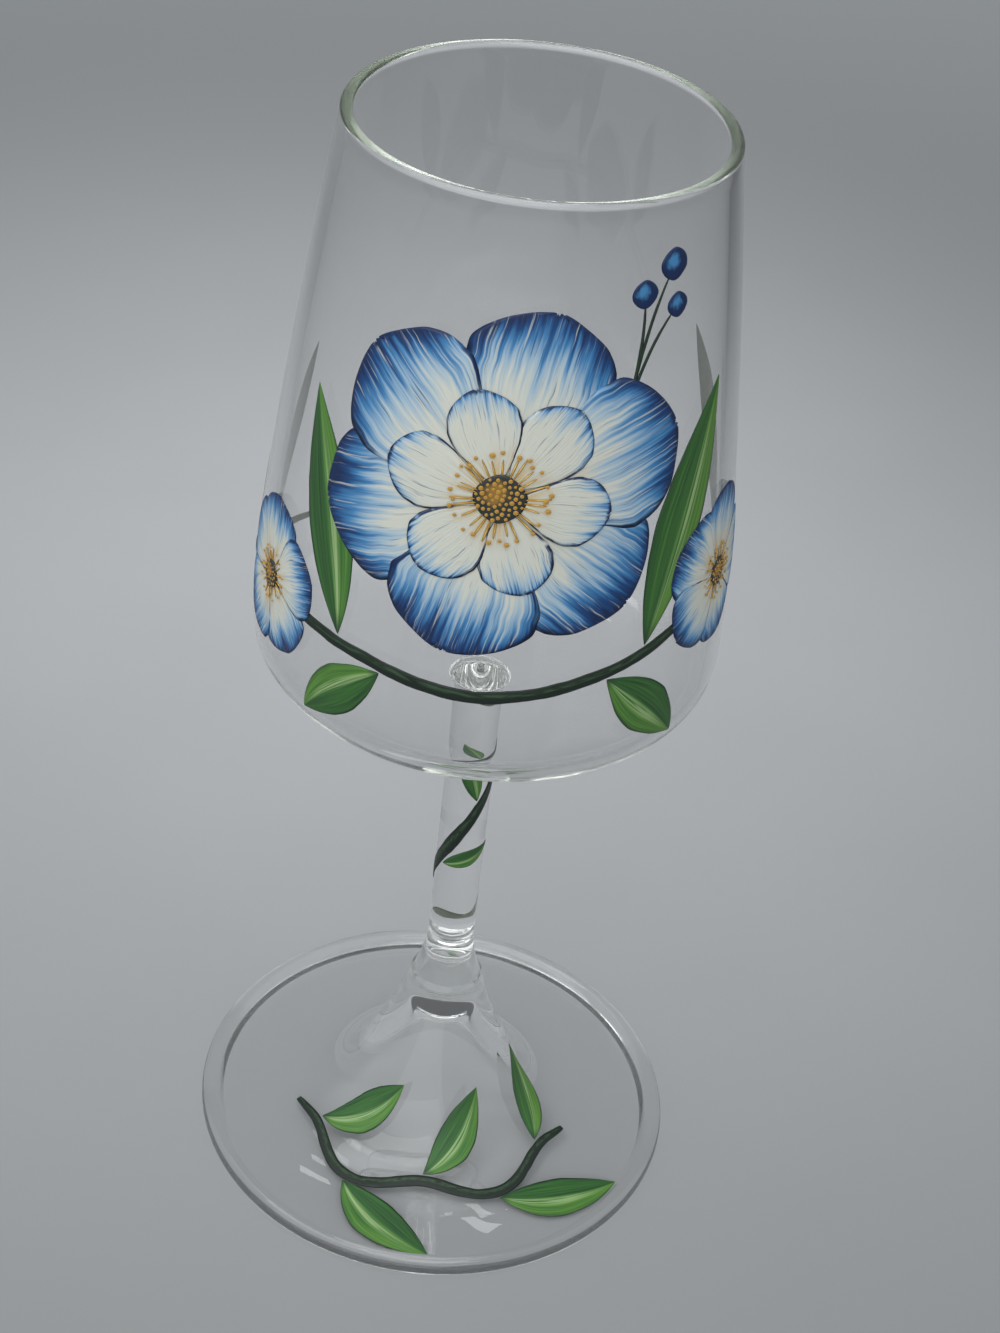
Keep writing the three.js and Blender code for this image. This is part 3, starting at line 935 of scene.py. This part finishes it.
def brush_marks(wires, along, across, shift, detail=3.0, lane=None):
    """Marks drawn out along the stroke: how many lie along and across it, and a shift of their own."""
    place = stroke_uv(wires)
    seed = wires.value("ShaderNodeAttribute", output="Fac", attribute_name="patch_seed")
    walk = wires.join(
        place[0] * along,
        (lane or place[1]) * across,
        seed + shift,
    )
    return wires.noise(walk, detail)


def colour_ramp(wires, value, stops):
    """A value from 0 to 1 turned into colours: stops gives a place and a colour each."""
    node = wires.node("ShaderNodeValToRGB", {"Fac": value})
    points = node.color_ramp.elements
    while len(points) < len(stops):
        points.new(0.5)
    for point, (place, colour) in zip(points, stops):
        point.position = place
        point.color = colour
    return Value(wires, node.outputs[0])


def enamel(wires, output, colour, marks, roughness=0.48):
    """Satin enamel with the given colour, its gloss and relief broken up by the brush marks."""
    gloss = wires.drift(marks, GLOSS_DRIFT, roughness)
    bump = wires.value("ShaderNodeBump", {"Strength": 0.35, "Distance": MARK_BUMP, "Height": marks})
    paint = wires.value("ShaderNodeBsdfPrincipled", {
        "Base Color": colour, "Roughness": gloss, "IOR": 1.45, "Normal": bump,
    })
    wires.feed(output.inputs["Surface"], paint)


print("palette of 12 paints ready")

# %% Petal paint
PETAL_SHAPE = (1.5, 0.6)


def petal_paint(name, stops, tip_dark):
    """Pale at the heart, blue at the tip and along the edges, streaked by the brush."""
    material, wires, output = new_material(name)
    along, across = stroke_uv(wires)[:2]
    edge = wires.math("ABSOLUTE", wires.math("MULTIPLY_ADD", across, 2.0, -1.0))
    swell = wires.math("SINE", along ** PETAL_SHAPE[0] * math.pi)
    swell = wires.math("MAXIMUM", swell, 0.0) ** PETAL_SHAPE[1]
    widest = 0.5 ** (1 / PETAL_SHAPE[0])
    fan = wires.math("MAXIMUM", swell, wires.math("LESS_THAN", along, widest))
    lane = (across - 0.5) * fan
    fine = brush_marks(wires, 1.8, 36.0, 0.3, 4.0, lane)
    broad = brush_marks(wires, 1.3, 8.0, 5.2, 2.0, lane)
    depth = along ** 1.7 * tip_dark
    depth = wires.math("MULTIPLY_ADD", edge ** 4.0, 0.34, depth)
    depth = wires.drift(fine, 0.8, depth)
    depth = wires.drift(broad, 0.7, depth)
    colour = colour_ramp(wires, depth, stops)
    warm = wires.ramp(along, 0.5, 0.05) * wires.ramp(broad, 0.44, 0.62)
    colour = wires.blend(warm * 0.75, colour, OCHRE)
    light = wires.ramp(brush_marks(wires, 2.2, 64.0, 9.4, 3.0, lane), 0.57, 0.68)
    colour = wires.blend(light * 0.55, colour, CREAM)
    dark = wires.ramp(brush_marks(wires, 2.6, 56.0, 14.1, 3.0, lane), 0.60, 0.72)
    dark = dark * 0.7 * wires.ramp(along, 0.15, 0.6)
    colour = wires.blend(dark, colour, PRUSSIAN)
    ragged = wires.drift(fine, 0.3, edge)
    rim = wires.math("MAXIMUM", wires.ramp(ragged, 0.88, 0.97), wires.ramp(along, 0.95, 0.99))
    broken = wires.ramp(brush_marks(wires, 6.0, 1.5, 21.7, 2.0), 0.34, 0.56)
    colour = wires.blend(rim * broken, colour, NAVY)
    enamel(wires, output, colour, fine)
    return material


BLUE_PETAL = petal_paint("blue_petal", [
    (0.0, CREAM), (0.22, CREAM), (0.42, PALE_BLUE), (0.62, CERULEAN), (0.82, PRUSSIAN), (1.0, NAVY),
], 0.95)
PALE_PETAL = petal_paint("pale_petal", [
    (0.0, CREAM), (0.45, CREAM), (0.66, PALE_BLUE), (0.82, CERULEAN), (0.95, PRUSSIAN), (1.0, NAVY),
], 0.75)
print("petal paints:", BLUE_PETAL.name, PALE_PETAL.name)

# %% Leaf and vine paint


def leaf_paint():
    """One half in shade and one in light, with a pale stripe beside the middle."""
    material, wires, output = new_material("leaf_green")
    along, across = stroke_uv(wires)[:2]
    edge = wires.math("ABSOLUTE", wires.math("MULTIPLY_ADD", across, 2.0, -1.0))
    fine = brush_marks(wires, 1.8, 26.0, 0.8)
    broad = brush_marks(wires, 1.2, 5.0, 3.9, 2.0)
    shine = wires.math("MULTIPLY_ADD", wires.ramp(across, 0.44, 0.56), 0.34, 0.24)
    shine = wires.drift(fine, 0.85, shine)
    shine = wires.drift(broad, 0.5, shine)
    colour = colour_ramp(wires, shine, [(0.0, LEAF_DEEP), (0.4, LEAF_MIDDLE), (0.95, LEAF_FRESH)])
    stripe = wires.ramp(wires.math("ABSOLUTE", across - 0.6), 0.13, 0.02)
    stripe = stripe * wires.ramp(along, 1.0, 0.55)
    stripe = stripe * wires.ramp(fine, 0.36, 0.6)
    colour = wires.blend(stripe * 0.8, colour, LEAF_PALE)
    ragged = wires.drift(fine, 0.4, edge)
    shade = wires.math("MAXIMUM", wires.ramp(ragged, 0.84, 1.0), wires.ramp(along, 0.12, 0.0))
    colour = wires.blend(shade * 0.85, colour, LEAF_DEEP)
    enamel(wires, output, colour, fine)
    return material


def vine_paint():
    """Almost black green with a broken lighter line along one side."""
    material, wires, output = new_material("vine_green")
    across = stroke_uv(wires)[1]
    fine = brush_marks(wires, 60.0, 5.0, 0.8)
    line = wires.ramp(wires.math("ABSOLUTE", across - 0.36), 0.24, 0.04)
    line = line * wires.ramp(fine, 0.34, 0.62)
    colour = wires.blend(line * 0.8, STALK_DARK, STALK_GREEN)
    enamel(wires, output, colour, fine)
    return material


LEAF_GREEN = leaf_paint()
VINE_GREEN = vine_paint()
print("green paints:", LEAF_GREEN.name, VINE_GREEN.name)

# %% Dabs and undercoats


def dab_paint(name, dark, light):
    """A round dab, darker at its edge, with a lighter touch above its middle."""
    material, wires, output = new_material(name)
    along, across = stroke_uv(wires)[:2]
    fine = brush_marks(wires, 5.0, 7.0, 2.6)
    offset = wires.join(along - 0.62, across - 0.4, 0.0)
    away = wires.value("ShaderNodeVectorMath", {0: offset}, "Value", operation="LENGTH")
    away = wires.drift(fine, 0.35, away)
    colour = wires.blend(wires.ramp(away, 0.34, 0.08), dark, light)
    enamel(wires, output, colour, fine)
    return material


def plain_undercoat(name, colour, worn):
    """The flat side of the paint that shows through the glass."""
    material, wires, output = new_material(name)
    marks = brush_marks(wires, 2.0, 12.0, 1.5)
    enamel(wires, output, wires.blend(wires.ramp(marks, 0.35, 0.65), colour, worn), marks, 0.55)
    return material


BERRY_BLUE = dab_paint("berry_blue", NAVY, CERULEAN)
HEART_BROWN = dab_paint("heart_brown", tint(44, 50, 48), tint(150, 112, 48))
STAMEN_OCHRE = dab_paint("stamen_ochre", tint(176, 132, 52), tint(224, 190, 104))
GREEN_BACK = plain_undercoat("green_back", tint(84, 92, 74), tint(94, 102, 84))
BLUE_BACK = plain_undercoat("blue_back", tint(120, 130, 140), tint(138, 146, 150))
print("materials in the scene so far:", len(bpy.data.materials))

# %% [markdown]
# ## The blossoms
#
# Each blossom has a ring of petals round a heart, and the front one, which is the largest, has a second,
# paler ring over the first. A ring is one stroke copied round a circle. The outer petals are a little
# wider than their share of the circle, and every other one lies a hair higher, so they overlap as
# brushed petals do.

# %% One stroke on the glass
COAT = 0.12 * MM
FIRST_COAT = 0.03 * MM


def on_glass(surface, spot, coat):
    """Where paint goes: a spot by angle and length on a surface, some coats off the glass."""
    return {
        "Outline": surface.guide, "Angle": spot[0], "Along": spot[1],
        "Radius": surface.radius(spot[1]), "Lift": FIRST_COAT + coat * COAT,
    }


def stroke(name, surface, spot, spine, half_width, shape, coat, paint, back, seed, **changes):
    """Lays one stroke, or a ring of them, on a glass surface; changes are other inputs of the tree."""
    guide = guide_line(name + "_spine", [(point[0], point[1], 0) for point in spine])
    piece = grow(STROKE, name, {
        "Spine": guide, "Rows": 48, "Columns": 25, "Half Width": half_width, "Skew": float(shape[0]),
        "Fullness": float(shape[1]), "Fray": 0.0, "Waver": 0.16, "Waves": 5.0, "Thickness": 0.1 * MM,
        "Ridge": 0.08 * MM, "Bristles": 16.0, "Copies": 1, "First Turn": 0.0, "Spread": 0.0,
        "Stagger": 0.0, "Seed": seed, "Paint": paint, "Undercoat": back,
        **on_glass(surface, spot, coat), **changes,
    })
    bpy.data.objects.remove(guide)
    return piece


print("coats lie", COAT / MM, "mm apart")

# %% Petals
FRONT_DROP = 42.5 * MM
PETAL_SPREAD = 0.045
PETAL_STAGGER = 0.07 * MM
PETAL_FRAY = 1.6 * MM


def petal_ring(blossom, ring, spot, count, turn, start, length, fill, coat, paint, slot, seed):
    """A ring of petals, as wide as their wedge of the circle lets them be."""
    widest = start + length * 0.5 ** (1 / PETAL_SHAPE[0])
    half = fill * widest * math.tan(math.pi / count)
    changes = {
        "Copies": count, "First Turn": math.radians(turn), "Spread": PETAL_SPREAD,
        "Stagger": PETAL_STAGGER, "Fray": PETAL_FRAY, "Rows": 64,
    }
    piece = stroke(
        f"painted_{blossom}_{ring}s", bowl_side, spot, [(0, start * 0.6), (0, start + length)], half,
        PETAL_SHAPE, coat, paint, BLUE_BACK, seed, **changes)
    dress(piece, slot, *[f"{blossom}_{ring}_{number + 1}" for number in range(count)])


front_spot = bowl_side.spot(0, RIM_Z - FRONT_DROP)
right_spot = bowl_side.spot(43 * MM, BOWL_Z + 36 * MM)
left_spot = bowl_side.spot(-41 * MM, BOWL_Z + 28 * MM)
petal_ring(
    "front", "petal", front_spot, count=6, turn=10, start=5.5 * MM, length=22 * MM, fill=1.04, coat=1,
    paint=BLUE_PETAL, slot="petal_blue", seed=3)
petal_ring(
    "front", "inner_petal", front_spot, count=6, turn=40, start=3 * MM, length=13.5 * MM, fill=0.84,
    coat=3, paint=PALE_PETAL, slot="petal_pale", seed=8)
petal_ring(
    "right", "petal", right_spot, count=5, turn=20, start=2.4 * MM, length=11 * MM, fill=1.02, coat=1,
    paint=BLUE_PETAL, slot="petal_blue", seed=5)
petal_ring(
    "left", "petal", left_spot, count=5, turn=-5, start=2.3 * MM, length=10.5 * MM, fill=1.02, coat=1,
    paint=BLUE_PETAL, slot="petal_blue", seed=11)

# %% [markdown]
# ## Hearts and stamens
#
# A heart is a round dab of dark paint with dots of ochre on it. Dots that are each turned by the golden
# angle from the last fill a disc evenly, as seeds do in a real flower head, so a tree places them by
# that rule. Between the dab and the petals thin ochre lines stand for stamens, a ring of strokes again.

# %% A tree for dots
DOT_INPUTS = {
    "Count": "Int", "Inner": "Float", "Outer": "Float", "Dot": "Float", "Seed": "Int",
    "Paint": "Material", "Undercoat": "Material", **WRAP_INPUTS,
}
GOLDEN_ANGLE = math.pi * (3 - math.sqrt(5))
DOT_SEED = 0.7
DOT_LEAST, DOT_MOST = 0.7, 1.2
DOT_FLAT = 0.45


def dot_tree():
    """Flattened dots spread over a disc or a ring, each turned by the golden angle from the last."""
    tree, wires, given = node_tree("dot_cluster", DOT_INPUTS)
    number = wires.value("GeometryNodeInputIndex")
    share = (number + 0.5) / given["Count"]
    reach = given["Outer"] - given["Inner"]
    radius = wires.math("MULTIPLY_ADD", wires.math("SQRT", share), reach, given["Inner"])
    angle = number * GOLDEN_ANGLE
    right = radius * wires.math("COSINE", angle)
    up = radius * wires.math("SINE", angle)
    places = wires.join(right, up, 0.0)
    seed = wires.math("MULTIPLY_ADD", number, DOT_SEED, given["Seed"])
    ball = wires.outputs(wires.node("GeometryNodeMeshUVSphere", {
        "Segments": 10, "Rings": 6, "Radius": given["Dot"],
    }))
    mapped = stored(wires, ball["Mesh"], "UVMap", ball["UV Map"], "FLOAT2", "CORNER")
    size = random_between(wires, DOT_LEAST, DOT_MOST, number, given["Seed"])
    flat = copied(wires, mapped, given["Count"], places, seed, {
        "Scale": wires.join(size, size, size * DOT_FLAT),
    })
    return finish_paint(tree, wires, given, flat)


DOTS = dot_tree()
print("tree", DOTS.name, "has", len(DOTS.nodes), "nodes")

# %% Hearts
DAB_SHAPE = (1.0, 0.6)
STAMEN_SHAPE = (1.0, 0.3)
STAMEN_HALF = 0.16 * MM
STAMEN_SPREAD = 0.1


def dab(name, spot, radius, coat, paint, seed, thickness):
    """A round dab on the bowl, one short stroke as wide as it is long."""
    return stroke(
        "painted_" + name, bowl_side, spot, [(0, -radius), (0, radius)], radius, DAB_SHAPE, coat, paint,
        BLUE_BACK, seed, Rows=24, Columns=17, Thickness=thickness)


def dots(name, spot, count, inner, outer, dot, coat, seed):
    """Dots of ochre on the bowl, from an inner to an outer radius."""
    piece = grow(DOTS, "painted_" + name, {
        "Count": count, "Inner": inner, "Outer": outer, "Dot": dot, "Seed": seed,
        "Paint": STAMEN_OCHRE, "Undercoat": STAMEN_OCHRE, **on_glass(bowl_side, spot, coat),
    })
    dress(piece, "heart_ochre")


def heart(blossom, spot, radius, reach, stamens, coat, seed):
    """A dab with dots on it, and a ring of thin stamens that end in dots of their own."""
    middle = dab(f"{blossom}_heart", spot, radius, coat, HEART_BROWN, seed, 0.25 * MM)
    dress(middle, "heart_ochre", f"{blossom}_heart")
    lines = stroke(
        f"painted_{blossom}_stamens", bowl_side, spot, [(0, radius * 0.8), (0, reach)], STAMEN_HALF,
        STAMEN_SHAPE, coat, STAMEN_OCHRE, BLUE_BACK, seed + 1,
        Rows=12, Columns=5, Copies=stamens, Spread=STAMEN_SPREAD)
    dress(lines, "heart_ochre")
    dots(f"{blossom}_pollen", spot, stamens * 2, 0.0, radius * 0.9, radius * 0.085, coat + 2, seed)
    dots(f"{blossom}_anthers", spot, stamens, reach * 0.94, reach * 1.1, radius * 0.1, coat + 1, seed)


heart("front", front_spot, radius=3.8 * MM, reach=6.6 * MM, stamens=26, coat=5, seed=21)
heart("right", right_spot, radius=2.5 * MM, reach=4.2 * MM, stamens=16, coat=3, seed=25)
heart("left", left_spot, radius=2.4 * MM, reach=4.0 * MM, stamens=16, coat=3, seed=29)

# %% [markdown]
# ## Vines, leaves and berries
#
# A vine is one long stroke of even width along a curved path, and the leaves grow from points beside it.
# The bowl's path is a smooth curve through a few points, the stem's winds once round, and the foot's is
# an arc that sways in and out. All three are given as an angle round the axis and a length along the
# glass's outline.

# %% Paths of the three vines
BOWL_VINE = [(-80, 17), (-60, 23), (-41, 27), (-21, 26), (0, 24), (22, 28), (43, 34), (60, 29), (75, 19)]
STEM_MARGIN = 2.5 * MM
FOOT_VINE_RADIUS = FOOT_RADIUS - 18 * MM
FOOT_VINE_LENGTH = 68 * MM
FOOT_VINE_SWAY = 1.8 * MM
FOOT_VINE_WAVES = 2.5

bowl_knots = [Vector(bowl_side.spot(right * MM, BOWL_Z + height * MM)) for right, height in BOWL_VINE]


def bowl_path(share):
    """A smooth curve through the bowl's points, from 0 at the first to 1 at the last."""
    last = len(bowl_knots) - 1
    place = min(max(share, 0.0), 1.0) * last
    first = min(int(place), last - 1)
    part = place - first
    before, start, end, after = [bowl_knots[min(max(first + step, 0), last)] for step in (-1, 0, 1, 2)]
    into, out = (end - before) / 2, (after - start) / 2
    cubic = 2 * start - 2 * end + into + out
    square = 3 * end - 3 * start - 2 * into - out
    return cubic * part ** 3 + square * part ** 2 + into * part + start


def stem_path(share):
    """One turn round the stem."""
    run = BOWL_Z - FOOT_TOP - WELD_FLARE - 2 * STEM_MARGIN
    return Vector(((share - 0.5) * math.tau, STEM_MARGIN + share * run))


foot_vine_along = foot_top.along_where(lambda point: FOOT_VINE_RADIUS - point.x)


def foot_path(share):
    """An arc on the foot's top that sways in and out."""
    sway = FOOT_VINE_SWAY * math.sin(math.tau * FOOT_VINE_WAVES * share)
    return Vector(((share - 0.5) * FOOT_VINE_LENGTH / FOOT_VINE_RADIUS, foot_vine_along + sway))


print("foot vine lies", round(foot_vine_along / MM, 1), "mm along the foot's outline")

# %% Vines
VINE_HALF = 1.1 * MM
VINE_STEPS = 160
VINE_SHAPE = (1.0, 0.2)
VINE_ROW = 0.5 * MM
VINE_WAVE = 4 * MM


def vine(name, surface, path, seed):
    """A long stroke of even width that follows a path of angles and lengths."""
    steps = [path(step / VINE_STEPS) for step in range(VINE_STEPS + 1)]
    radius = surface.radius(path(0.5).y)
    spine = [(step.x * radius, step.y) for step in steps]
    length = sum(math.dist(before, after) for before, after in zip(spine, spine[1:]))
    piece = stroke(
        "painted_" + name, surface, (0.0, 0.0), spine, VINE_HALF, VINE_SHAPE, 0, VINE_GREEN, GREEN_BACK,
        seed, Rows=int(length / VINE_ROW), Columns=11, Radius=radius, Waver=0.5, Waves=length / VINE_WAVE,
        Thickness=0.16 * MM, Bristles=6.0)
    dress(piece, "vine_green", name)


vine("bowl_vine", bowl_side, bowl_path, 31)
vine("stem_vine", stem_round, stem_path, 32)
vine("foot_vine", foot_top, foot_path, 33)

# %% Leaves
LEAF_SHAPE = (1.0, 0.9)
LEAF_GAP = 0.2 * MM
LEAF_STEPS = 12
NUDGE = 0.001


def leaves(name, surface, path, rows):
    """Leaves beside a vine: place on it, side, turn, length, width and bend of each."""
    for number, (at, side, turn, length, width, bend) in enumerate(rows, 1):
        here, before, after = path(at), path(at - NUDGE), path(at + NUDGE)
        radius = surface.radius(here.y)
        run = Vector(((after.x - before.x) * radius, after.y - before.y)).normalized()
        gap = side * (VINE_HALF + LEAF_GAP)
        spot = (here.x - gap * run.y / radius, here.y + gap * run.x)
        angle = math.radians(turn)
        spine = []
        for step in range(LEAF_STEPS + 1):
            share = step / LEAF_STEPS
            right, up = bend * MM * share ** 2, length * MM * share
            spine.append((
                right * math.cos(angle) + up * math.sin(angle),
                up * math.cos(angle) - right * math.sin(angle),
            ))
        piece = stroke(
            f"painted_{name}_{number}", surface, spot, spine, width * MM / 2, LEAF_SHAPE, 0, LEAF_GREEN,
            GREEN_BACK, 40 + number, Rows=56, Columns=21, Fray=0.8 * MM)
        dress(piece, "leaf_green", f"{name}_{number}")


leaves("bowl_leaf", bowl_side, bowl_path, [
    (0.41, -1, -128, 19, 8, -2), (0.36, 1, -12, 38, 10, -5), (0.13, 1, -14, 32, 9, -4),
    (0.61, -1, 130, 21, 8.5, 2), (0.65, 1, 14, 42, 11, 5), (0.88, 1, 20, 36, 9.5, 5),
])
leaves("stem_leaf", stem_round, stem_path, [(0.62, 1, -12, 11, 3.6, -1), (0.34, -1, 62, 10, 3.6, 1)])
leaves("foot_leaf", foot_top, foot_path, [
    (0.1, 1, 48, 21, 8.5, -1.5), (0.3, -1, 118, 20, 8, 1.5), (0.5, 1, 48, 21, 8.5, -1.5),
    (0.7, -1, 118, 20, 8, 1.5), (0.9, 1, 48, 21, 8.5, -1.5),
])

# %% Berries
BERRY_Z = RIM_Z - 13 * MM
BERRIES = [(17.5, 0, 2.1), (22, 3.5, 2.4), (23.5, -2.5, 1.9)]

berries = [(bowl_side.spot(right * MM, BERRY_Z + rise * MM), size * MM) for right, rise, size in BERRIES]
for number, (spot, radius) in enumerate(berries, 1):
    piece = dab(f"berry_{number}", spot, radius, 0, BERRY_BLUE, 60 + number, 0.22 * MM)
    dress(piece, "berry_blue", f"berry_{number}")

# %% Berry stalks
STALK_HALF = 0.3 * MM
STALK_SWAY = 2.2 * MM
STALK_BEND = 0.6
STALK_END = 0.9

stalk_foot = bowl_side.spot(17 * MM, BERRY_Z - 17 * MM)
foot_round = bowl_side.radius(stalk_foot[1])
for number, (spot, radius) in enumerate(berries, 1):
    away = Vector(((spot[0] - stalk_foot[0]) * foot_round, spot[1] - stalk_foot[1]))
    sway = Vector((STALK_SWAY, away.y * STALK_BEND))
    tip = away + radius * STALK_END * (sway - away).normalized()
    spine = sweep([(0, 0), sway, tip], 16)
    piece = stroke(
        f"painted_berry_stalk_{number}", bowl_side, stalk_foot, spine, STALK_HALF, VINE_SHAPE, 0,
        VINE_GREEN, GREEN_BACK, 70 + number, Rows=40, Columns=7, Waver=0.5)
    dress(piece, "vine_green")

# %% [markdown]
# ## Tidying up
#
# The outlines that carried the paint were guides, so they go.

# %% Remove the guides
for side in outlines:
    bpy.data.objects.remove(side.guide)
